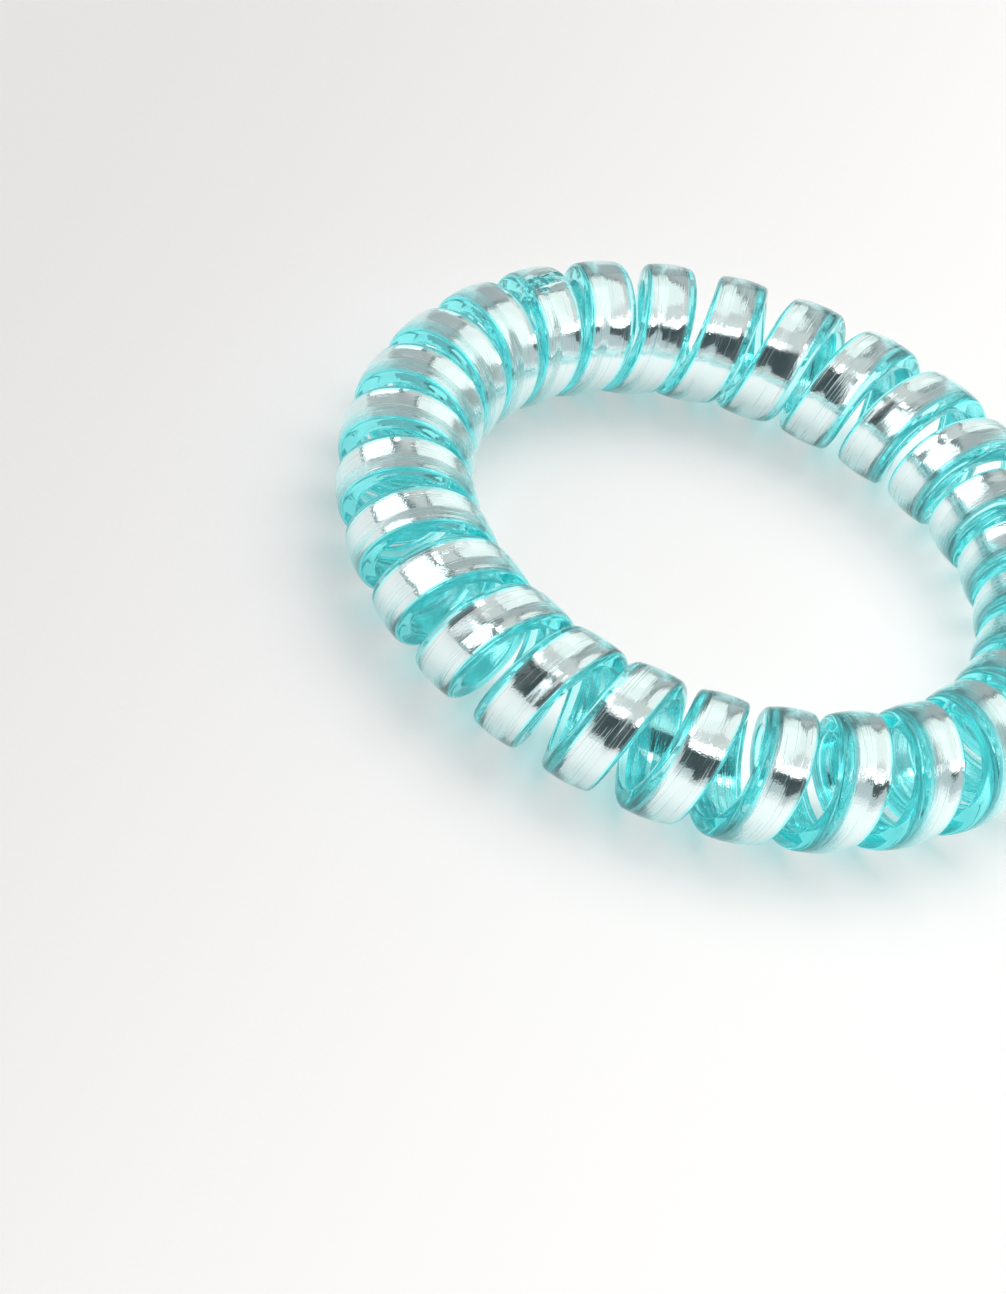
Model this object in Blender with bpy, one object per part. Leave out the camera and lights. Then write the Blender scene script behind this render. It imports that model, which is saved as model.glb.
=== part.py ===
"""Spiral hair tie: a clear ribbon coiled into a ring and welded end to end, with a silver film strip in its outer face.

Metres, +Z up. The ring lies flat, its axis is the Z axis and its underside is at z = 0. Angles round the ring
are counter-clockwise from +X. The tube angle goes round the coil's own circle, from outward towards +Z.
"""

import math

import bmesh
import bpy
from mathutils import Vector

# The ring
RING_OUTER_DIAMETER = 0.0550
COIL_DIAMETER = 0.0094
TURN_GAP = 0.00015
SIDES_PER_TURN = 15
FIRST_TURN_ANGLE = math.radians(60.6)

# The turns crowd together a little on one side of the ring and open up on the other.
CROWDING = math.radians(2.9)
OPEN_SIDE_ANGLE = math.radians(101)

# The ribbon: width runs along the ring, thickness towards the coil's middle
BAND_WIDTH = 0.0037
BAND_THICKNESS = 0.00135
SHOULDER_WIDTH = 0.00012
SHOULDER_DROP = 0.00028
INNER_FACE_INSET = 0.00010
LIP_WIDTH = 0.00025

# The film strip and the channel that it lies in
FOIL_RECESS = 0.00010
FOIL_THICKNESS = 0.00020
FOIL_CLEARANCE = 0.00025

# The weld seam, where the ribbon's ends are fused and the film is interrupted
WELD_RING_ANGLE = math.radians(145)
WELD_TUBE_ANGLE = math.radians(78)
WELD_LENGTH = 0.0012
WELD_RAMP = 0.0003
WELD_RISE = 0.00015

TURQUOISE = (0.03, 0.58, 0.62, 1.0)
SILVER = (0.80, 0.88, 0.90, 1.0)

COIL_RADIUS = COIL_DIAMETER / 2
RING_RADIUS = (RING_OUTER_DIAMETER - COIL_DIAMETER) / 2
CHANNEL_HALF_WIDTH = BAND_WIDTH / 2 - SHOULDER_WIDTH - LIP_WIDTH
CHANNEL_DEPTH = FOIL_RECESS + FOIL_THICKNESS + FOIL_CLEARANCE
STEP = math.tau / SIDES_PER_TURN

# The flats of the faceted coil lie on the true circle, and its corners just outside it.
CORNER_REACH = 1 / math.cos(STEP / 2)


def turn_count():
    """As many turns as fit side by side where they are closest: on the ring's inner side, where they crowd."""
    edge_radius = RING_RADIUS - (COIL_RADIUS - SHOULDER_DROP) * CORNER_REACH
    return int(math.tau * edge_radius * (1 - CROWDING) / (BAND_WIDTH + TURN_GAP))


TURNS = turn_count()


def ring_angle(wound):
    """Angle round the ring after winding this far round the coil's circle."""
    even = FIRST_TURN_ANGLE + wound / TURNS
    return even + CROWDING * math.cos(even - OPEN_SIDE_ANGLE)


def weld_position():
    """How far the coil is wound at the weld: the tube angle given, on the turn nearest to the ring angle given."""
    wound = (WELD_RING_ANGLE - FIRST_TURN_ANGLE) * TURNS
    turn = round((wound - WELD_TUBE_ANGLE) / math.tau)
    return WELD_TUBE_ANGLE + turn * math.tau


def coil_point(wound, across, height):
    """A point of the ribbon, from its distance along the ring and its height above the coil's circle."""
    angle = ring_angle(wound)
    outward = Vector((math.cos(angle), math.sin(angle), 0))
    along = Vector((-math.sin(angle), math.cos(angle), 0))
    lift = outward * math.cos(wound) + Vector((0, 0, math.sin(wound)))
    reach = (COIL_RADIUS + height) * CORNER_REACH
    return outward * RING_RADIUS + lift * reach + along * across


def band_section(filled):
    """Outline of the ribbon as (across, height): an open channel, or the raised seam that fills it at the weld."""
    edge = BAND_WIDTH / 2
    top = edge - SHOULDER_WIDTH
    wall = CHANNEL_HALF_WIDTH
    floor = WELD_RISE if filled else -CHANNEL_DEPTH
    floor_half_width = wall - SHOULDER_WIDTH if filled else wall
    right = [
        (floor_half_width, floor),
        (wall, 0),
        (top, 0),
        (edge, -SHOULDER_DROP),
        (edge - INNER_FACE_INSET, -BAND_THICKNESS),
    ]
    left = [(-across, height) for across, height in reversed(right)]
    return right + left


def foil_section():
    half = CHANNEL_HALF_WIDTH - FOIL_CLEARANCE
    top = -FOIL_RECESS
    bottom = top - FOIL_THICKNESS
    return [(half, bottom), (half, top), (-half, top), (-half, bottom)]


def stations():
    """Stops along the coil from the weld round to itself, as (wound, filled), with close ones at the seam."""
    weld = weld_position()
    radius = COIL_RADIUS - BAND_THICKNESS / 2
    seam = WELD_LENGTH / 2 / radius
    ramp_end = seam + WELD_RAMP / radius
    foil_end = ramp_end + FOIL_CLEARANCE / radius
    stops = [(weld + seam, True), (weld + ramp_end, False), (weld + foil_end, False)]
    end = weld + TURNS * math.tau
    first = math.ceil((weld + foil_end) / STEP)
    for index in range(first, first + TURNS * SIDES_PER_TURN + 1):
        # A quarter turn from the top lies midway between two stops, so the coil's underside is flat there.
        wound = -math.pi / 2 + (index + 0.5) * STEP
        if weld + foil_end + STEP / 4 < wound < end - foil_end - STEP / 4:
            stops.append((wound, False))
    stops += [(end - foil_end, False), (end - ramp_end, False), (end - seam, True)]
    return stops


def sweep(name, sections, closed, material, parent):
    """A solid through equal outlines, joined end to end if closed and capped otherwise."""
    mesh = bpy.data.meshes.new(name)
    bm = bmesh.new()
    rings = [[bm.verts.new(point) for point in section] for section in sections]
    pairs = list(zip(rings, rings[1:]))
    if closed:
        pairs.append((rings[-1], rings[0]))
    else:
        bm.faces.new(rings[0])
        bm.faces.new(reversed(rings[-1]))
    for near, far in pairs:
        for side in range(len(near)):
            following = (side + 1) % len(near)
            bm.faces.new((near[side], far[side], far[following], near[following]))
    bmesh.ops.recalc_face_normals(bm, faces=bm.faces)
    bm.to_mesh(mesh)
    bm.free()
    mesh.shade_smooth()
    mesh.set_sharp_from_angle(angle=math.radians(30))
    mesh.materials.append(material)
    made = bpy.data.objects.new(name, mesh)
    made.parent = parent
    bpy.context.collection.objects.link(made)
    return made


def make_material(name, color, roughness, metallic, transmission):
    material = bpy.data.materials.new(name)
    material.use_nodes = True
    shader = material.node_tree.nodes["Principled BSDF"]
    shader.inputs["Base Color"].default_value = color
    shader.inputs["Roughness"].default_value = roughness
    shader.inputs["Metallic"].default_value = metallic
    shader.inputs["Transmission Weight"].default_value = transmission
    return material


def make_coil_band(parent):
    outline = {filled: band_section(filled) for filled in (False, True)}
    sections = [[coil_point(wound, *corner) for corner in outline[filled]] for wound, filled in stations()]
    material = make_material("clear_turquoise_tpu", TURQUOISE, roughness=0.1, metallic=0.0, transmission=0.8)
    return sweep("coil_band", sections, True, material, parent)


def make_foil_strip(parent):
    outline = foil_section()
    stops = [wound for wound, filled in stations() if not filled][1:-1]
    sections = [[coil_point(wound, *corner) for corner in outline] for wound in stops]
    material = make_material("silver_film", SILVER, roughness=0.15, metallic=1.0, transmission=0.0)
    return sweep("foil_strip", sections, False, material, parent)


def main():
    for leftover in list(bpy.data.objects):
        bpy.data.objects.remove(leftover)
    center = bpy.data.objects.new("ring_center", None)
    center.location = (0, 0, COIL_RADIUS)
    bpy.context.collection.objects.link(center)
    make_coil_band(center)
    make_foil_strip(center)


main()
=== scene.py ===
# %% [markdown]
# # A spiral hair tie
#
# The real thing is one ribbon of clear turquoise plastic with a silver film just under its outer face. It
# is wound like a telephone cord, bent round into a ring and welded end to end. The solids of the packed
# model give its size and place. This lesson puts the finished ribbon and film where those solids are, and
# lights them like the photo.
#
# First the imported model is loaded, and its meshes are kept by name, so that the solids can be hidden
# once the finished pieces stand in for them.

# %% Load the frame
import math

import bmesh
import bpy
import numpy as np
from mathutils import Matrix, Vector


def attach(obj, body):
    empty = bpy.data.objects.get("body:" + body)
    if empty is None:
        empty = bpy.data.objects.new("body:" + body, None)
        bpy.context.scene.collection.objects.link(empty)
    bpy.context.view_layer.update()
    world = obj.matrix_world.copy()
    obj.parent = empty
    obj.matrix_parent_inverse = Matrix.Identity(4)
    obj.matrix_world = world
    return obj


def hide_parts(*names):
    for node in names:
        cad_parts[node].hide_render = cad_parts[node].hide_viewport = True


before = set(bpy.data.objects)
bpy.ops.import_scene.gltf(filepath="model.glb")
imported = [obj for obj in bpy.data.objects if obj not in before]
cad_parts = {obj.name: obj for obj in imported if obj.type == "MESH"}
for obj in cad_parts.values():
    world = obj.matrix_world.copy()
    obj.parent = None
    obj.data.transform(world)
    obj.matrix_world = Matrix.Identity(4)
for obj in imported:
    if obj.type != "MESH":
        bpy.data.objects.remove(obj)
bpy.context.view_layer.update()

scene = bpy.context.scene

# %% [markdown]
# ## The camera
#
# A camera can be aimed by eye, but here the ring itself tells where it stood: a torus fitted to the ring's
# outline in the photo gives the distance, the height and the roll. It is a long lens from about 40 cm, 37
# degrees above the table and rolled 22 degrees. The three directions below are the camera's own right, up
# and back.

# %% Camera
CAMERA_PLACE = Vector((0.0, -0.31565, 0.24197))
CAMERA_RIGHT = Vector((0.91908, 0.26640, 0.29038))
CAMERA_UP = Vector((-0.39303, 0.56629, 0.72446))
CAMERA_LENS = 161.4

camera_data = bpy.data.cameras.new("camera")
camera_data.lens = CAMERA_LENS
camera = bpy.data.objects.new("camera", camera_data)
scene.collection.objects.link(camera)
back = CAMERA_RIGHT.cross(CAMERA_UP)
turn = Matrix((CAMERA_RIGHT, CAMERA_UP, back)).transposed().to_4x4()
camera.matrix_world = Matrix.Translation(CAMERA_PLACE) @ turn
scene.camera = camera
print("Camera distance in m:", round(CAMERA_PLACE.length, 3))

# %% [markdown]
# ## Helpers for nodes
#
# Every material, and the room, is a small graph of nodes. These helpers add a node with its settings, add a
# math node that takes numbers or other nodes' outputs, remap a value from one range to another, mix two
# colours, and add a noise texture. Writing each node out would be as good, but the graphs would be too long
# to read.

# %% Node helpers
def add_node(tree, kind, settings=None, **inputs):
    """A node with its settings, and with each named input set to a value or linked to an output."""
    node = tree.nodes.new(kind)
    for key, value in (settings or {}).items():
        setattr(node, key, value)
    for key, value in inputs.items():
        plug(tree, node.inputs[key.replace("_", " ")], value)
    return node


def plug(tree, socket, value):
    """Sets a socket to a plain value, or links an output to it."""
    if isinstance(value, bpy.types.NodeSocket):
        tree.links.new(value, socket)
    else:
        socket.default_value = value


def calc(tree, operation, *values, clamp=False):
    """A math node's output."""
    node = tree.nodes.new("ShaderNodeMath")
    node.operation = operation
    node.use_clamp = clamp
    for socket, value in zip(node.inputs, values):
        plug(tree, socket, value)
    return node.outputs[0]


def ramp(tree, value, low, high, to_low=0.0, to_high=1.0, kind="SMOOTHSTEP"):
    """The value remapped from one range to another, smoothly unless told otherwise, and held at the ends."""
    node = tree.nodes.new("ShaderNodeMapRange")
    node.interpolation_type = kind
    given = {"Value": value, "From Min": low, "From Max": high, "To Min": to_low, "To Max": to_high}
    for title, number in given.items():
        plug(tree, node.inputs[title], number)
    return node.outputs["Result"]


def blend_colors(tree, factor, first, second):
    """The first colour where the factor is 0, and the second where it is 1."""
    node = tree.nodes.new("ShaderNodeMix")
    node.data_type = "RGBA"
    node.clamp_factor = True
    plug(tree, node.inputs["Factor"], factor)
    colors = [socket for socket in node.inputs if socket.type == "RGBA"]
    plug(tree, colors[0], first)
    plug(tree, colors[1], second)
    return next(socket for socket in node.outputs if socket.type == "RGBA")


def noise(tree, vector, scale, detail):
    """A noise texture's output, about 0 to 1."""
    return add_node(tree, "ShaderNodeTexNoise", Vector=vector, Scale=scale, Detail=detail).outputs[0]


print("Node helpers are ready")

# %% [markdown]
# ## The room
#
# A mirror-like film shows the room more than itself, so the room matters as much as the material. The photo
# was taken in a pale room with a large mint-white wall behind on the right, windows on the left, and the
# dark side with the camera in front. A photo of a room wrapped round the scene would do too, but a painted
# one can be matched patch by patch. The world is painted by direction: azimuth counts from +X towards +Y,
# and elevation from the horizon. The patches have crisp edges, because the film shows them crisply. Two of
# them are wedges, which narrow to one side.

# %% Room
ROOM_PALE = (0.54, 0.53, 0.52, 1)
ROOM_TOP = (0.62, 0.63, 0.61, 1)
ROOM_HORIZON = (0.80, 0.82, 0.82, 1)
ROOM_PATCHES = (
    # azimuth from, to, lean, elevation from, to, softness in degrees, colour
    ("bright ceiling on the right", 262, 392, 0.0, 33, 78, 4, (0.70, 0.70, 0.69, 1)),
    ("pale sweep on the right", 296, 400, 0.0, -5, 12, 3, (0.82, 0.83, 0.83, 1)),
    ("dim wall behind", 84, 154, 0.2, -2, 54, 5, (0.40, 0.41, 0.415, 1)),
    ("dark edge of the mint wall", 30, 111, 0.67, 8, 80, 1.5, (0.17, 0.20, 0.20, 1)),
    ("mint wall behind right", -10, 106, 0.67, 11, 84, 1.5, (0.90, 0.93, 0.90, 1)),
    ("things on the table behind right", -4, 62, -0.9, 8, 30, 4, (0.33, 0.38, 0.375, 1)),
    ("window frame", 153, 222, -0.2, 2, 56, 1.5, (0.15, 0.18, 0.19, 1)),
    ("second window", 224, 234, -0.2, 6, 48, 2, (0.86, 0.88, 0.89, 1)),
)
ROOM_WEDGES = (
    # azimuth from, to, lower edge's elevation at both, upper edge's at both, softness in degrees, colour
    ("dim side by the camera", 262, 386, 8, 9, 38, 34, 4, (0.50, 0.56, 0.57, 1)),
    ("dark side with the camera", 234, 356, 0, 33, 61, 37, 3, (0.040, 0.050, 0.055, 1)),
)
PALE_TO_TOP = (40.0, 75.0)
HORIZON_FADE = (0.0, 8.0)


def patch_mask(tree, azimuth, elevation, start, end, lean, low, high, soft):
    """1 inside a patch of the room and 0 outside it. A patch may lean over, so many degrees to the degree."""
    half = (end - start) / 2
    middle = (start + end) / 2 - lean * (low + high) / 2
    straight = calc(tree, "MULTIPLY_ADD", elevation, -lean, azimuth)
    turned = calc(tree, "WRAP", calc(tree, "SUBTRACT", straight, middle), 180.0, -180.0)
    sideways = ramp(tree, calc(tree, "ABSOLUTE", turned), half - soft / 2, half + soft / 2, 1.0, 0.0)
    above = ramp(tree, elevation, low - soft / 2, low + soft / 2)
    below = ramp(tree, elevation, high - soft / 2, high + soft / 2, 1.0, 0.0)
    return calc(tree, "MULTIPLY", sideways, calc(tree, "MULTIPLY", above, below))


def wedge_mask(tree, azimuth, elevation, start, end, low_start, low_end, high_start, high_end, soft):
    """1 in a strip of the room whose lower and upper edges each run in a straight line from start to end."""
    half = (end - start) / 2
    turned = calc(tree, "WRAP", calc(tree, "SUBTRACT", azimuth, (start + end) / 2), 180.0, -180.0)
    along = ramp(tree, turned, -half, half, kind="LINEAR")
    low = calc(tree, "MULTIPLY_ADD", along, low_end - low_start, low_start)
    high = calc(tree, "MULTIPLY_ADD", along, high_end - high_start, high_start)
    above = ramp(tree, calc(tree, "SUBTRACT", elevation, low), -soft / 2, soft / 2)
    below = ramp(tree, calc(tree, "SUBTRACT", elevation, high), -soft / 2, soft / 2, 1.0, 0.0)
    sideways = ramp(tree, calc(tree, "ABSOLUTE", turned), half - soft / 2, half + soft / 2, 1.0, 0.0)
    return calc(tree, "MULTIPLY", sideways, calc(tree, "MULTIPLY", above, below))


room = bpy.data.worlds.new("room")
room.use_nodes = True
scene.world = room
room.cycles.sampling_method = "MANUAL"
room.cycles.sample_map_resolution = 256
tree = room.node_tree
tree.nodes.clear()
direction = add_node(tree, "ShaderNodeTexCoord").outputs["Generated"]
x, y, z = add_node(tree, "ShaderNodeSeparateXYZ", Vector=direction).outputs
azimuth = calc(tree, "DEGREES", calc(tree, "ARCTAN2", y, x))
elevation = calc(tree, "DEGREES", calc(tree, "ARCSINE", z))
paint = blend_colors(tree, ramp(tree, elevation, *PALE_TO_TOP), ROOM_PALE, ROOM_TOP)
paint = blend_colors(tree, ramp(tree, elevation, *HORIZON_FADE, 1.0, 0.0), paint, ROOM_HORIZON)
for _, *extent, color in ROOM_PATCHES:
    paint = blend_colors(tree, patch_mask(tree, azimuth, elevation, *extent), paint, color)
for _, *extent, color in ROOM_WEDGES:
    paint = blend_colors(tree, wedge_mask(tree, azimuth, elevation, *extent), paint, color)
background = add_node(tree, "ShaderNodeBackground", Color=paint, Strength=1.0)
add_node(tree, "ShaderNodeOutputWorld", Surface=background.outputs[0])
print("Room painted with", len(ROOM_PATCHES) + len(ROOM_WEDGES), "patches")

# %% [markdown]
# ## The lights
#
# The film shows each lamp as a shape, so the softboxes are placed by the direction in which the photo's
# film mirrors them: a faint mint-white one behind on the right, and a wide window on the left. An area
# light's power is its brightness times pi times its area, so brightness is what the table below gives, and
# the power follows from the size. Some small lamps are far hotter than the rest, as bare bulbs are. They
# make the white glints on the clear plastic, and are kept out of the floor's light. The last lamp is the
# other way round: it gives the table its soft shadows, and is kept out of the mirrored room.

# %% Softboxes
SOFTBOXES = (
    # name, azimuth, elevation, degrees wide, degrees tall, distance in m, brightness, colour
    ("mint box behind right", 42, 46, 50, 30, 1.1, 0.15, (0.92, 1.0, 0.95)),
    ("window", 188, 28, 54, 42, 1.4, 1.3, (1.0, 1.0, 1.0)),
)
GLINT_LAMPS = (
    ("first bulb overhead", 360, 43, 10, 13, 1.0, 3.4, (1.0, 1.0, 1.0)),
    ("second bulb overhead", 334, 48, 10, 13, 1.0, 3.4, (1.0, 1.0, 1.0)),
    ("third bulb overhead", 307, 55, 10, 13, 1.0, 3.4, (1.0, 1.0, 1.0)),
    ("fourth bulb overhead", 275, 63, 10, 13, 1.0, 3.4, (1.0, 1.0, 1.0)),
    ("bulb beside the window", 192, 58, 8, 8, 1.0, 2.5, (1.0, 1.0, 1.0)),
)
TABLE_LAMP = ("lamp above the table", 84, 60, 44, 44, 1.2, 1.9, (1.0, 0.975, 0.97))


def toward(azimuth, elevation):
    """The direction from the object, from azimuth and elevation in degrees."""
    a, e = math.radians(azimuth), math.radians(elevation)
    return Vector((math.cos(a) * math.cos(e), math.sin(a) * math.cos(e), math.sin(e)))


def add_softbox(name, azimuth, elevation, wide, tall, distance, brightness, color, shape="RECTANGLE"):
    """An area light that faces the object and looks as wide and as tall, in degrees, as the table says."""
    light = bpy.data.lights.new(name, "AREA")
    light.shape = shape
    light.size = 2 * distance * math.tan(math.radians(wide / 2))
    light.size_y = 2 * distance * math.tan(math.radians(tall / 2))
    light.energy = brightness * math.pi * light.size * light.size_y
    light.color = color
    made = bpy.data.objects.new(name, light)
    scene.collection.objects.link(made)
    made.location = toward(azimuth, elevation) * distance
    made.rotation_euler = toward(azimuth, elevation).to_track_quat("Z", "Y").to_euler()
    return made


for row in SOFTBOXES:
    made = add_softbox(*row)
    print(row[0], "power in W:", round(made.data.energy, 2))
for row in GLINT_LAMPS:
    made = add_softbox(*row, shape="ELLIPSE")
    made.visible_diffuse = False
    print(row[0], "shows only in glossy faces, power in W:", round(made.data.energy, 2))
made = add_softbox(*TABLE_LAMP)
made.visible_glossy = False
made.visible_transmission = False
print(TABLE_LAMP[0], "lights only the table, power in W:", round(made.data.energy, 2))

# %% [markdown]
# ## The floor
#
# The tie lies on a plain white table. Its glow is painted light: it glows a little, and more on the right,
# where more light falls, so its shadows stay pale. More lamps could lift the shadows too, but the film would
# mirror them. A single large plane is enough for the table, as its underside never shows.

# %% Floor
FLOOR_WIDTH = 3.0
FLOOR_COLOR = (0.76, 0.74, 0.74, 1)
FLOOR_GRAIN = (0.73, 0.71, 0.71, 1)
# Painted light: the table's glow is weak on the left and strong on the right, and it lifts the shadows.
PAINTED_LIGHT_LEFT = (0.095, 0.087, 0.088, 1)
PAINTED_LIGHT_RIGHT = (0.34, 0.34, 0.335, 1)
PAINTED_LIGHT_TOWARD = (0.96, -0.10)
PAINTED_LIGHT_RISE = (-0.065, 0.03)
GRAIN_PER_METRE = 3000.0

bpy.ops.object.select_all(action="DESELECT")
bpy.ops.mesh.primitive_plane_add(size=FLOOR_WIDTH, location=(0, 0, 0))
floor = bpy.context.object
floor.name = "floor"
floor_paint = bpy.data.materials.new("matt_white_table")
floor_paint.use_nodes = True
tree = floor_paint.node_tree
shader = tree.nodes["Principled BSDF"]
shader.inputs["Roughness"].default_value = 0.75
shader.inputs["Specular IOR Level"].default_value = 0.2
shader.inputs["Emission Strength"].default_value = 1.0
place = add_node(tree, "ShaderNodeTexCoord").outputs["Object"]
grain = noise(tree, place, GRAIN_PER_METRE, 2.0)
plug(tree, shader.inputs["Base Color"], blend_colors(tree, grain, FLOOR_COLOR, FLOOR_GRAIN))
x, y, _ = add_node(tree, "ShaderNodeSeparateXYZ", Vector=place).outputs
share_x, share_y = (calc(tree, "MULTIPLY", value, share) for value, share in zip((x, y), PAINTED_LIGHT_TOWARD))
rightward = calc(tree, "ADD", share_x, share_y)
# The painted light rises towards the right and goes into the table's emission.
painted_floor_light = blend_colors(tree, ramp(tree, rightward, *PAINTED_LIGHT_RISE), PAINTED_LIGHT_LEFT, PAINTED_LIGHT_RIGHT)
plug(tree, shader.inputs["Emission Color"], painted_floor_light)
floor_paint.cycles.emission_sampling = "NONE"
floor.data.materials.append(floor_paint)
print("Floor is", FLOOR_WIDTH, "m wide")

# %% [markdown]
# ## How the coil winds
#
# The ribbon goes 28 times round a circle of 9.4 mm while that circle goes once round the ring. "Wound" is
# the angle that the coil has turned through. The turns crowd a little at the back of the ring, so the angle
# round the ring isn't quite even, and one formula says where each bit of ribbon belongs. The ribbon is cut
# open at its weld, so distances along it start and end there. All lengths are in metres.

# %% Winding
COIL_RADIUS = 0.0047
RING_RADIUS = 0.0228
TURNS = 28
FIRST_TURN_ANGLE = math.radians(60.6)
CROWDING = math.radians(2.9)
OPEN_SIDE_ANGLE = math.radians(101)
WELD_RING_ANGLE = math.radians(145)
WELD_TUBE_ANGLE = math.radians(78)
WELD_TURN = round(((WELD_RING_ANGLE - FIRST_TURN_ANGLE) * TURNS - WELD_TUBE_ANGLE) / math.tau)
WELD_WOUND = WELD_TUBE_ANGLE + WELD_TURN * math.tau
COIL_LENGTH = TURNS * math.tau * COIL_RADIUS
STEPS_PER_TURN = 76


def ring_angle(wound):
    """Angle round the ring after winding this far round the coil's circle."""
    even = FIRST_TURN_ANGLE + wound / TURNS
    return even + CROWDING * np.cos(even - OPEN_SIDE_ANGLE)


def coil_place(wound, across, radius):
    """Points of the coil: how far it is wound, the distance along the ring, and that from the coil's axis."""
    angle = ring_angle(wound)
    outward = np.stack([np.cos(angle), np.sin(angle), 0 * angle], 1)
    along = np.stack([-np.sin(angle), np.cos(angle), 0 * angle], 1)
    upward = np.array([0.0, 0.0, 1.0])
    place = outward * (RING_RADIUS + radius * np.cos(wound))[:, None]
    place += upward * (COIL_RADIUS + radius * np.sin(wound))[:, None]
    return place + along * across[:, None]


print("Length of ribbon round the coil's circle in mm:", round(COIL_LENGTH * 1000, 1))

# %% [markdown]
# ## Helpers for modelling
#
# Operators act on whatever is selected, so each step starts from nothing selected. In edit mode, points are
# picked by their place, which stays right when a size changes, as their numbers would not.

# %% Modelling helpers
def select_alone(piece):
    """Makes one piece the only one that operators act on."""
    bpy.ops.object.select_all(action="DESELECT")
    bpy.context.view_layer.objects.active = piece
    piece.select_set(True)


def edit_alone(piece):
    """Opens one piece in edit mode with nothing selected."""
    select_alone(piece)
    bpy.ops.object.mode_set(mode="EDIT")
    bpy.ops.mesh.select_mode(type="VERT")
    bpy.ops.mesh.select_all(action="DESELECT")


def pick(piece, test):
    """Selects just the points whose place passes the test, and the edges between them."""
    bpy.ops.mesh.select_all(action="DESELECT")
    edit = bmesh.from_edit_mesh(piece.data)
    for point in edit.verts:
        point.select = test(point.co)
    edit.select_flush(True)
    edit.select_flush(False)
    bmesh.update_edit_mesh(piece.data)


print("Modelling helpers are ready")

# %% [markdown]
# ## The ribbon's section
#
# Cut across, the ribbon is a rounded bar with a domed outer face and a flat inner one that carries fine
# ribs from the die it was pressed through. It could be drawn point by point, but a plane does it as by
# hand: it is stretched to the ribbon's size, its corners are bevelled, and its long sides are cut up so
# that the one can be domed and the other ribbed. X is the width, and the outer face looks towards -Y.

# %% Ribbon section
RIBBON_WIDTH = 0.0037
RIBBON_THICKNESS = 0.00135
OUTER_ROUNDING = 0.00038
INNER_ROUNDING = 0.00016
DOME_RADIUS = 0.0080
RIB_COUNT = 8
RIB_HEIGHT = 0.000075
DOME_CUTS = 9
TOUCH = 1e-6


def bar_section(name, width, thickness, top):
    """A flat plane, left in edit mode, of that size and with its outer edge this far from the coil's axis."""
    bpy.ops.object.select_all(action="DESELECT")
    bpy.ops.mesh.primitive_plane_add(size=1, location=(0, 0, 0))
    section = bpy.context.object
    section.name = name
    section.data.name = name
    edit_alone(section)
    bpy.ops.mesh.select_all(action="SELECT")
    bpy.ops.transform.resize(value=(width, thickness, 1))
    bpy.ops.transform.translate(value=(0, -(top - thickness / 2), 0))
    return section


ribbon = bar_section("clear_ribbon", RIBBON_WIDTH, RIBBON_THICKNESS, COIL_RADIUS)
outer = -COIL_RADIUS
inner = outer + RIBBON_THICKNESS
middle = (outer + inner) / 2
pick(ribbon, lambda co: co.y < middle)
bpy.ops.mesh.bevel(offset=OUTER_ROUNDING, segments=6, affect="VERTICES")
pick(ribbon, lambda co: co.y > middle)
bpy.ops.mesh.bevel(offset=INNER_ROUNDING, segments=3, affect="VERTICES")
pick(ribbon, lambda co: co.y < outer + TOUCH)
bpy.ops.mesh.subdivide(number_cuts=DOME_CUTS)
pick(ribbon, lambda co: co.y > inner - TOUCH)
bpy.ops.mesh.subdivide(number_cuts=2 * RIB_COUNT - 1)
pick(ribbon, lambda co: True)
bpy.ops.mesh.delete(type="ONLY_FACE")
section = bmesh.from_edit_mesh(ribbon.data)
flat_half = RIBBON_WIDTH / 2 - INNER_ROUNDING
for point in section.verts:
    if point.co.y < middle:
        point.co.y += point.co.x ** 2 / (2 * DOME_RADIUS)
    elif point.co.y > inner - TOUCH and abs(point.co.x) < flat_half - TOUCH:
        step = (point.co.x + flat_half) / flat_half * RIB_COUNT
        if round(step) % 2:
            point.co.y -= RIB_HEIGHT
bmesh.update_edit_mesh(ribbon.data)
bpy.ops.object.mode_set(mode="OBJECT")
print("Points in the ribbon's section:", len(ribbon.data.vertices))

# %% [markdown]
# ## Winding the ribbon
#
# A Screw modifier winds the section into a straight coil along X, as a machine winds the hot ribbon on a
# rod. Bending the straight coil into a ring could be a Curve modifier's work, but it can't crowd the turns
# on one side. So each point is moved in code: from its place on the straight coil follow how far it is
# wound and how far across the ribbon it lies, and the winding formula gives its place on the ring. The same
# two numbers make the UV map, with millimetres along the ribbon as U and across it as V, for patterns that
# follow the ribbon.

# %% Winding helpers
STRAIGHT_PITCH = 0.005


def wind_straight(piece):
    """Winds a section into a straight left-handed coil of all the turns along X."""
    screw = piece.modifiers.new("wind", "SCREW")
    screw.axis = "X"
    screw.angle = -math.tau
    screw.screw_offset = STRAIGHT_PITCH
    screw.iterations = TURNS
    screw.steps = STEPS_PER_TURN
    screw.render_steps = STEPS_PER_TURN
    select_alone(piece)
    bpy.ops.object.modifier_apply(modifier=screw.name)


def read_straight(piece):
    """Each point's turning angle along the coil, place across the ribbon and distance from the axis."""
    flat = np.empty(len(piece.data.vertices) * 3)
    piece.data.vertices.foreach_get("co", flat)
    x, y, z = flat.reshape(-1, 3).T
    turned = np.arctan2(z, -y)
    whole = np.round(x / STRAIGHT_PITCH - turned / math.tau)
    turned = turned + whole * math.tau
    return turned, x - STRAIGHT_PITCH * turned / math.tau, np.hypot(y, z)


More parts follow.
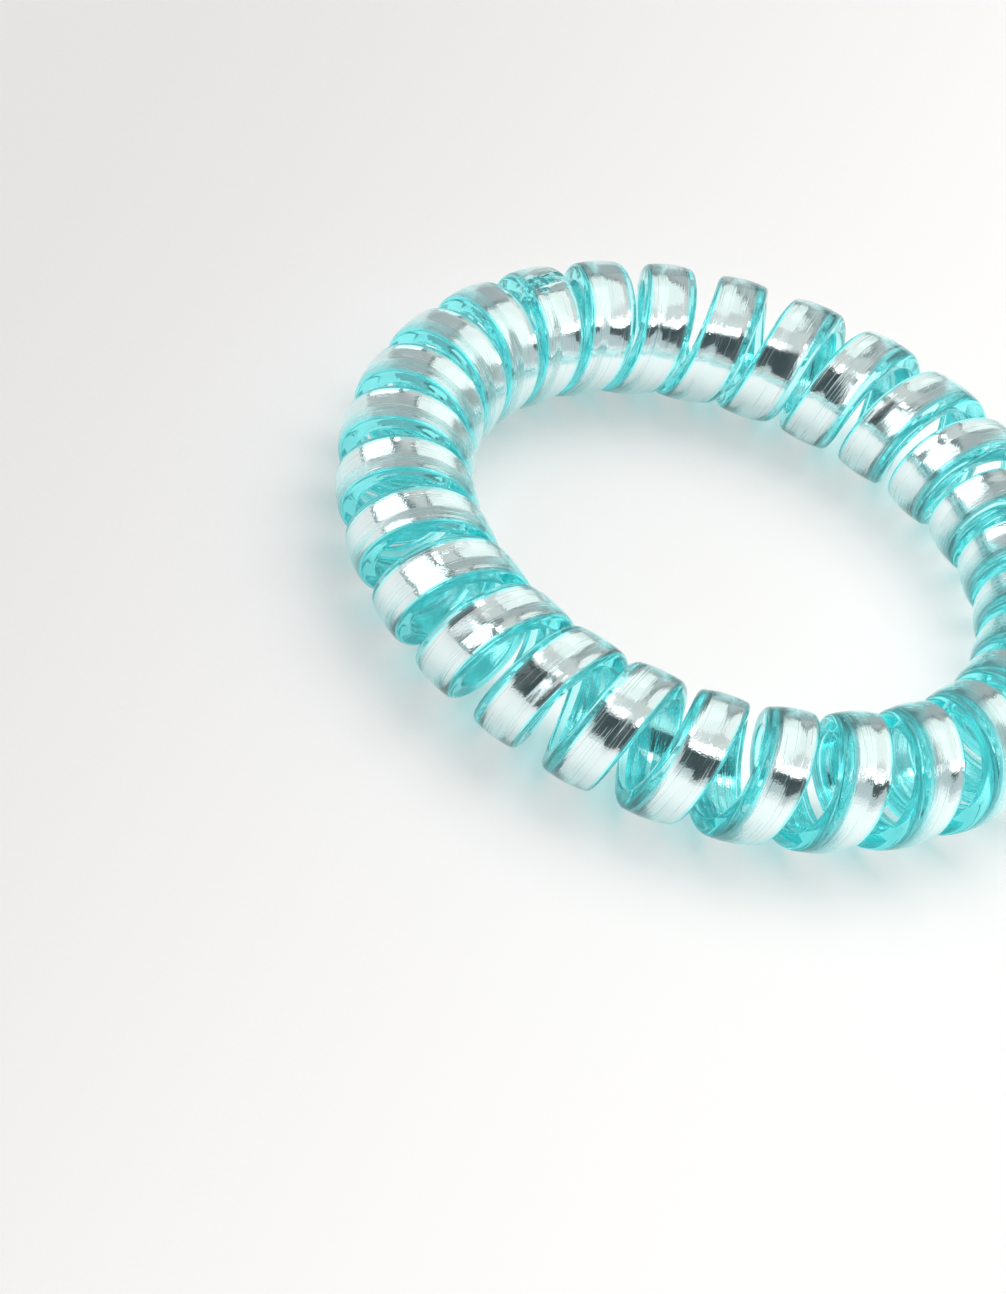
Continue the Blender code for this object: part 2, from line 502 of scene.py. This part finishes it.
def write_ring(piece, turned, across, radius):
    """Moves the points onto the ring, and keeps their places on the ribbon as a UV map and as a depth."""
    place = coil_place(WELD_WOUND + turned, across, radius)
    piece.data.vertices.foreach_set("co", place.ravel())
    corner = np.empty(len(piece.data.loops), dtype=np.int64)
    piece.data.loops.foreach_get("vertex_index", corner)
    uv = piece.data.uv_layers.new(name="along_ribbon")
    along = turned * COIL_RADIUS * 1000
    uv.data.foreach_set("uv", np.stack([along[corner], across[corner] * 1000], 1).ravel())
    depth = piece.data.attributes.new("depth", "FLOAT", "POINT")
    depth.data.foreach_set("value", (COIL_RADIUS - radius) * 1000)
    piece.data.update()


def tidy_surface(piece, sharp_angle):
    """Merges points that meet, turns the faces outwards and shades smooth except over sharp edges."""
    edit_alone(piece)
    bpy.ops.mesh.select_all(action="SELECT")
    bpy.ops.mesh.remove_doubles(threshold=TOUCH)
    bpy.ops.mesh.normals_make_consistent(inside=False)
    bpy.ops.object.mode_set(mode="OBJECT")
    bpy.ops.object.shade_smooth_by_angle(angle=math.radians(sharp_angle))


print("Straight coil's pitch in mm:", STRAIGHT_PITCH * 1000)

# %% [markdown]
# ## The weld
#
# Where the ribbon's ends are melted together it is a little thicker, a bowed groove runs across it, the
# melt ripples, and the ends don't quite line up. Moves of a tenth of a millimetre show clearly in such a
# glossy face. Each is a hump that fades out with the distance from the weld. The steps of the winding are
# too coarse for them, so the steps beside the weld are drawn closer to it first.

# %% Ribbon with its weld
# Waves and roundings are in radians per metre.
WELD_SWELL = 0.00010
WELD_SPREAD = 0.0007
SWELL_EDGE_SHARE = 0.4
SWELL_ROUNDING = 900
WELD_BOW, BOW_SPREAD = 0.00035, 0.0015
GROOVE_DEPTH, GROOVE_SPREAD = 0.00010, 0.00022
CREST_HEIGHT, CREST_PLACE, CREST_SPREAD = 0.00010, -0.0004, 0.0002
CREST_HALF_WIDTH, CREST_WAVES, CREST_WAVE_SHARE = 0.0014, 5200, 0.4
RIPPLE_HEIGHT, RIPPLE_LENGTH = 0.00003, 0.00055
RIPPLE_PLACE, RIPPLE_SPREAD = 0.0008, 0.0007
END_WIDENING, END_SPREAD = 0.03, 0.0006
END_MISMATCH, MISMATCH_PLACE = 0.00012, 0.0005
CLOSER_STEPS, CLOSER_SPREAD = 0.75, 0.0015


def hump(distance, spread):
    """1 in the middle, and fading smoothly to almost 0 at twice the spread."""
    return np.exp(-((distance / spread) ** 2))


def draw_closer(turned, across):
    """Draws the steps beside the weld closer to it and bows them; also gives their distance from it."""
    whole = np.round(turned / (TURNS * math.tau)) * TURNS * math.tau
    distance = (turned - whole) * COIL_RADIUS
    distance = distance * (1 - CLOSER_STEPS * hump(distance, CLOSER_SPREAD))
    bow = WELD_BOW * (across / (RIBBON_WIDTH / 2)) ** 2 * hump(distance, BOW_SPREAD)
    return whole + (distance + bow) / COIL_RADIUS, distance


wind_straight(ribbon)
turned, across, radius = read_straight(ribbon)
turned, distance = draw_closer(turned, across)
height = np.clip((radius - COIL_RADIUS + RIBBON_THICKNESS) / RIBBON_THICKNESS, 0, 1)
rounded = SWELL_EDGE_SHARE + (1 - SWELL_EDGE_SHARE) * np.cos(across * SWELL_ROUNDING)
uneven = 1 - CREST_WAVE_SHARE + CREST_WAVE_SHARE * np.sin(across * CREST_WAVES + 1)
lift = WELD_SWELL * hump(distance, WELD_SPREAD) * rounded
lift -= GROOVE_DEPTH * hump(distance, GROOVE_SPREAD)
lift += CREST_HEIGHT * hump(distance - CREST_PLACE, CREST_SPREAD) * uneven * hump(across, CREST_HALF_WIDTH)
ripples = np.sin(distance / RIPPLE_LENGTH * math.tau)
lift += RIPPLE_HEIGHT * ripples * hump(distance - RIPPLE_PLACE, RIPPLE_SPREAD)
across = across * (1 + END_WIDENING * hump(distance, END_SPREAD))
across += END_MISMATCH * hump(distance - MISMATCH_PLACE, END_SPREAD) * height
write_ring(ribbon, turned, across, radius + lift * height)
tidy_surface(ribbon, sharp_angle=60)
print("Ribbon faces:", len(ribbon.data.polygons))

# %% [markdown]
# ## The film
#
# The film is a metallised strip, thinner than a hair, under the domed clear face. It could be a painted
# colour on the ribbon, but then it would lack its depth. A flat bar that is bent one way dishes the other
# way, as a bent rubber does, so the wound film is hollow across its width, and under the clear dome it
# shows the room as a hollow mirror would: a wide part of the room in each turn. Its one edge rolls down
# into the ribbon, and shows the table and the low parts of the room. So the film is a real strip inside the
# ribbon. It is wound the same way, and it stops just short of the weld with slightly crinkled ends.

# %% Film
FILM_WIDTH = 0.00285
FILM_OFFSET = 0.000175
FILM_THICKNESS = 0.00005
FILM_DEPTH = 0.00021
FILM_DISH_RADIUS = 0.0075
FILM_DISH_MIDDLE = 0.00035
# Beyond its start, the roll drops by FILM_ROLL times the square of the distance.
FILM_ROLL_START, FILM_ROLL = 0.00080, 220
FILM_GAP_STEPS = 2
FILM_CUTS = 15
CRINKLE_HEIGHT, CRINKLE_SPREAD = 0.00003, 0.0010
CRINKLES_ALONG, CRINKLES_ACROSS, CRINKLES_ASKEW = 9000, 4000, 5000
FILM_END_DIP, FILM_END_SPREAD = 0.0001, 0.0008

film = bar_section("silver_film", FILM_WIDTH, FILM_THICKNESS, COIL_RADIUS - FILM_DEPTH)
bpy.ops.transform.translate(value=(FILM_OFFSET, 0, 0))
bpy.ops.mesh.delete(type="ONLY_FACE")
film_top = -(COIL_RADIUS - FILM_DEPTH)
pick(film, lambda co: co.y < film_top + TOUCH)
bpy.ops.mesh.subdivide(number_cuts=FILM_CUTS)
bpy.ops.object.mode_set(mode="OBJECT")
wind_straight(film)
turned, across, radius = read_straight(film)
edit_alone(film)
keep_from = (FILM_GAP_STEPS + 0.5) * math.tau / STEPS_PER_TURN
edit = bmesh.from_edit_mesh(film.data)
edit.verts.ensure_lookup_table()
for point, angle in zip(edit.verts, turned):
    point.select = not keep_from < angle < TURNS * math.tau - keep_from
bmesh.update_edit_mesh(film.data)
bpy.ops.mesh.delete(type="VERT")
bpy.ops.mesh.select_all(action="SELECT")
bpy.ops.mesh.fill_holes(sides=0)
bpy.ops.object.mode_set(mode="OBJECT")
turned, across, radius = read_straight(film)
turned, distance = draw_closer(turned, across)
far_edge = FILM_OFFSET - FILM_WIDTH / 2 - FILM_DISH_MIDDLE
radius += ((across - FILM_DISH_MIDDLE) ** 2 - far_edge ** 2) / (2 * FILM_DISH_RADIUS)
radius -= FILM_ROLL * np.maximum(across - FILM_ROLL_START, 0) ** 2
crinkle = np.sin(distance * CRINKLES_ALONG) + np.sin(across * CRINKLES_ACROSS + distance * CRINKLES_ASKEW)
radius += CRINKLE_HEIGHT * hump(distance, CRINKLE_SPREAD) * crinkle
radius -= FILM_END_DIP * hump(distance, FILM_END_SPREAD)
write_ring(film, turned, across, radius)
tidy_surface(film, sharp_angle=40)
print("Film faces:", len(film.data.polygons))

# %% [markdown]
# ## An effect that both materials share
#
# Pressing the ribbon through a die leaves fine lines along it, in the film as well as in the plastic. Noise
# that is stretched along the ribbon's UV map gives such lines, and as two materials need it with their own
# values, it is a node group.

# %% Node group for the die lines
LINE_INPUTS = {"Along": 0.0, "Across": 0.0, "Lines per mm": 8.0, "Length in mm": 6.0}
LINE_OUTPUTS = ("Height", "Scratches")
SCRATCH_RISE = (0.62, 0.72)


def make_die_lines():
    """Fine lines along the ribbon: so many to the millimetre, and so many millimetres long."""
    group = bpy.data.node_groups.new("die_lines", "ShaderNodeTree")
    for title, value in LINE_INPUTS.items():
        socket = group.interface.new_socket(name=title, in_out="INPUT", socket_type="NodeSocketFloat")
        socket.default_value = value
    for title in LINE_OUTPUTS:
        group.interface.new_socket(name=title, in_out="OUTPUT", socket_type="NodeSocketFloat")
    given = group.nodes.new("NodeGroupInput")
    out = group.nodes.new("NodeGroupOutput")
    along, across, fine, length = (given.outputs[title] for title in LINE_INPUTS)
    x = calc(group, "DIVIDE", along, length)
    y = calc(group, "MULTIPLY", across, fine)
    place = add_node(group, "ShaderNodeCombineXYZ", X=x, Y=y).outputs[0]
    lines = noise(group, place, 1.0, 1.0)
    plug(group, out.inputs["Height"], lines)
    plug(group, out.inputs["Scratches"], ramp(group, lines, *SCRATCH_RISE))
    return group


DIE_LINES = make_die_lines()


def add_lines(tree, along, across, fine, length):
    """The die lines' height and scratches in a material."""
    node = tree.nodes.new("ShaderNodeGroup")
    node.node_tree = DIE_LINES
    for title, value in zip(LINE_INPUTS, (along, across, fine, length)):
        plug(tree, node.inputs[title], value)
    return node.outputs["Height"], node.outputs["Scratches"]


def ribbon_place(tree):
    """Millimetres along and across the ribbon, from the UV map."""
    uv = add_node(tree, "ShaderNodeUVMap", {"uv_map": "along_ribbon"})
    place = add_node(tree, "ShaderNodeSeparateXYZ", Vector=uv.outputs[0])
    return place.outputs[0], place.outputs[1]


print("Node group:", DIE_LINES.name)

# %% [markdown]
# ## Clear turquoise plastic
#
# The plastic is smooth and clear, and light loses its red on the way through. Looked at through the thin
# outer layer, the film stays silver; seen through the edges or the full thickness, all turns deep
# turquoise. Volume absorption does this as the real plastic does. The edges and the inner face are also
# tinted, because light in the real ribbon takes longer ways through it than the render follows. The edges
# and the inner face also get a faint painted glow, and faces seen from inside a stronger one. It stands in
# for light that runs along inside such plastic and comes out at its edges. Die lines and a soft unevenness
# stir the glints, and at the weld the plastic is cloudier. The UV map starts at the weld with 0 and ends
# there with the ribbon's full length, so the distance from the nearer of the two is the distance from the
# weld.

# %% Plastic material
CLEAR_FACE = (1.0, 1.0, 1.0, 1)
SLANTING_LOOK = (0.52, 0.955, 0.965, 1)
DEEP_EDGE = (0.56, 0.975, 0.985, 1)
CLOUDY_WELD = (0.55, 0.97, 0.98, 1)
SMOOTH, DULL = 0.02, 0.08
WELD_REACH = 1.2
# Painted glow: it is faint on the edges and the inner face, and stronger on faces seen from inside.
PAINTED_EDGE_GLOW = (0.006, 0.012, 0.0125, 1)
PAINTED_INSIDE_GLOW = (0.020, 0.031, 0.032, 1)
NO_LIGHT = (0.0, 0.0, 0.0, 1)
ABSORBING = (0.10, 0.98, 0.985, 1)
ABSORBING_DENSITY = 190.0
# Where each effect starts and is full: mm across, mm deep, the Facing value, and the weld's mask
SIDE_RISE, DEPTH_RISE, SLANT_RISE, SEAM_RISE = (1.40, 1.75), (0.30, 0.50), (0.42, 0.95), (0.55, 0.85)
SEAM_SHARE = 0.6
WAVES_PER_METRE, MELT_PER_METRE = 420.0, 2600.0
LINE_HEIGHT, MELT_HEIGHT = 0.15, 3.0
PLASTIC_RELIEF = 0.00002


def new_material(name):
    """A material, its node tree and its shader."""
    material = bpy.data.materials.new(name)
    material.use_nodes = True
    return material, material.node_tree, material.node_tree.nodes["Principled BSDF"]


plastic, tree, shader = new_material("clear_turquoise_tpu")
shader.inputs["IOR"].default_value = 1.5
shader.inputs["Transmission Weight"].default_value = 1.0
shader.inputs["Emission Strength"].default_value = 1.0
along, across = ribbon_place(tree)
depth = add_node(tree, "ShaderNodeAttribute", {"attribute_name": "depth"}).outputs["Fac"]
sideways = ramp(tree, calc(tree, "ABSOLUTE", across), *SIDE_RISE)
inward = ramp(tree, depth, *DEPTH_RISE)
facing = add_node(tree, "ShaderNodeLayerWeight", Blend=0.5).outputs["Facing"]
slanting = ramp(tree, facing, *SLANT_RISE)
from_end = calc(tree, "SUBTRACT", COIL_LENGTH * 1000, along)
from_weld = calc(tree, "MINIMUM", calc(tree, "ABSOLUTE", along), calc(tree, "ABSOLUTE", from_end))
weld = calc(tree, "SUBTRACT", 1.0, calc(tree, "DIVIDE", from_weld, WELD_REACH), clamp=True)
tint = blend_colors(tree, slanting, CLEAR_FACE, SLANTING_LOOK)
thick = calc(tree, "MAXIMUM", sideways, inward)
tint = blend_colors(tree, thick, tint, DEEP_EDGE)
painted_edge_glow = blend_colors(tree, thick, NO_LIGHT, PAINTED_EDGE_GLOW)
within = add_node(tree, "ShaderNodeNewGeometry").outputs["Backfacing"]
# The painted glow goes into the plastic's emission.
plug(tree, shader.inputs["Emission Color"], blend_colors(tree, within, painted_edge_glow, PAINTED_INSIDE_GLOW))
plastic.cycles.emission_sampling = "NONE"
seam = calc(tree, "MULTIPLY", ramp(tree, weld, *SEAM_RISE), SEAM_SHARE)
plug(tree, shader.inputs["Base Color"], blend_colors(tree, seam, tint, CLOUDY_WELD))
place = add_node(tree, "ShaderNodeTexCoord").outputs["Object"]
height, scratches = add_lines(tree, along, across, fine=5.0, length=14.0)
waves = noise(tree, place, WAVES_PER_METRE, 0.0)
melted = calc(tree, "MULTIPLY", noise(tree, place, MELT_PER_METRE, 0.0), weld)
plug(tree, shader.inputs["Roughness"], ramp(tree, scratches, 0.0, 1.0, SMOOTH, DULL))
relief = calc(tree, "MULTIPLY_ADD", melted, MELT_HEIGHT, waves)
relief = calc(tree, "MULTIPLY_ADD", height, LINE_HEIGHT, relief)
bump = add_node(tree, "ShaderNodeBump", Strength=1.0, Distance=PLASTIC_RELIEF, Height=relief)
plug(tree, shader.inputs["Normal"], bump.outputs[0])
absorption = add_node(tree, "ShaderNodeVolumeAbsorption", Color=ABSORBING, Density=ABSORBING_DENSITY)
plug(tree, tree.nodes["Material Output"].inputs["Volume"], absorption.outputs[0])
ribbon.data.materials.clear()
ribbon.data.materials.append(plastic)
print("Nodes in the plastic:", len(tree.nodes))

# %% [markdown]
# ## Silver film
#
# The film is aluminium on plastic, nearly a mirror. The lines along it spread what it mirrors into brush
# strokes, a fine grain softens the ends of each stroke, and a few deeper scratches are duller. A plain
# mirror would show the room too cleanly. Near its edges the film is seen through the ribbon's thick rim, so
# it is tinted there, and it also gets a faint painted glow there.

# %% Film material
SILVER = (0.96, 0.97, 0.97, 1)
SCRATCHED_SILVER = (0.91, 0.93, 0.94, 1)
SILVER_UNDER_EDGE = (0.45, 0.93, 0.945, 1)
# Painted glow on the film beside its edges.
PAINTED_GLOW_UNDER_EDGE = (0.06, 0.14, 0.145, 1)
# Where the tint and the painted glow beside each edge start and are full, in mm across
LOW_EDGE_FADE, HIGH_EDGE_RISE = (-1.20, -0.95), (1.40, 1.58)
FILM_GRAIN_PER_METRE = 9000.0
GRAIN_HEIGHT, FILM_LINE_HEIGHT, SCRATCH_HEIGHT = 0.55, 0.5, 0.8
FILM_RELIEF = 0.000006
SCRATCH_WEAR = 0.5
WEAR_RANGE, FILM_ROUGHNESS = (0.3, 1.2), (0.05, 0.14)

silver, tree, shader = new_material("silver_film")
shader.inputs["Metallic"].default_value = 1.0
shader.inputs["Emission Strength"].default_value = 1.0
along, across = ribbon_place(tree)
height, scratches = add_lines(tree, along, across, fine=11.0, length=7.0)
grain = noise(tree, add_node(tree, "ShaderNodeTexCoord").outputs["Object"], FILM_GRAIN_PER_METRE, 0.0)
near_low_edge = ramp(tree, across, *LOW_EDGE_FADE, 1.0, 0.0)
near_high_edge = ramp(tree, across, *HIGH_EDGE_RISE)
near_edge = calc(tree, "MAXIMUM", near_low_edge, near_high_edge)
paint = blend_colors(tree, scratches, SILVER, SCRATCHED_SILVER)
paint = blend_colors(tree, near_edge, paint, SILVER_UNDER_EDGE)
# The painted glow near the film's edges goes into its emission.
plug(tree, shader.inputs["Emission Color"], blend_colors(tree, near_edge, NO_LIGHT, PAINTED_GLOW_UNDER_EDGE))
silver.cycles.emission_sampling = "NONE"
plug(tree, shader.inputs["Base Color"], paint)
wear = calc(tree, "MULTIPLY_ADD", scratches, SCRATCH_WEAR, grain)
plug(tree, shader.inputs["Roughness"], ramp(tree, wear, *WEAR_RANGE, *FILM_ROUGHNESS))
relief = calc(tree, "MULTIPLY", grain, GRAIN_HEIGHT)
relief = calc(tree, "MULTIPLY_ADD", height, FILM_LINE_HEIGHT, relief)
relief = calc(tree, "MULTIPLY_ADD", scratches, SCRATCH_HEIGHT, relief)
bump = add_node(tree, "ShaderNodeBump", Strength=1.0, Distance=FILM_RELIEF, Height=relief)
plug(tree, shader.inputs["Normal"], bump.outputs[0])
film.data.materials.clear()
film.data.materials.append(silver)
print("Nodes in the film:", len(tree.nodes))

# %% [markdown]
# ## Putting it together
#
# Each finished piece moves with the body of the solid that it stands for. The tie is one rigid body, so
# both pieces ride on the root, and each takes its solid's place in the model.

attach(ribbon, "root")
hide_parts("coil_band")
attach(film, "root")
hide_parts("foil_strip")
print("Pieces:", ribbon.name, "and", film.name)

# %% [markdown]
# ## Settings for clear plastic
#
# Light passes many faces on its way through the coil, so it needs more bounces than a render usually gets.
# With fewer, the turquoise would turn dark where turns overlap. Plain colours without a film look keep the
# white table white.

# %% Render settings that belong to the look
scene.view_settings.view_transform = "Standard"
scene.cycles.max_bounces = 12
scene.cycles.glossy_bounces = 7
scene.cycles.transmission_bounces = 12
scene.cycles.volume_bounces = 0
scene.cycles.blur_glossy = 0.1
print("Bounces through clear plastic:", scene.cycles.transmission_bounces)
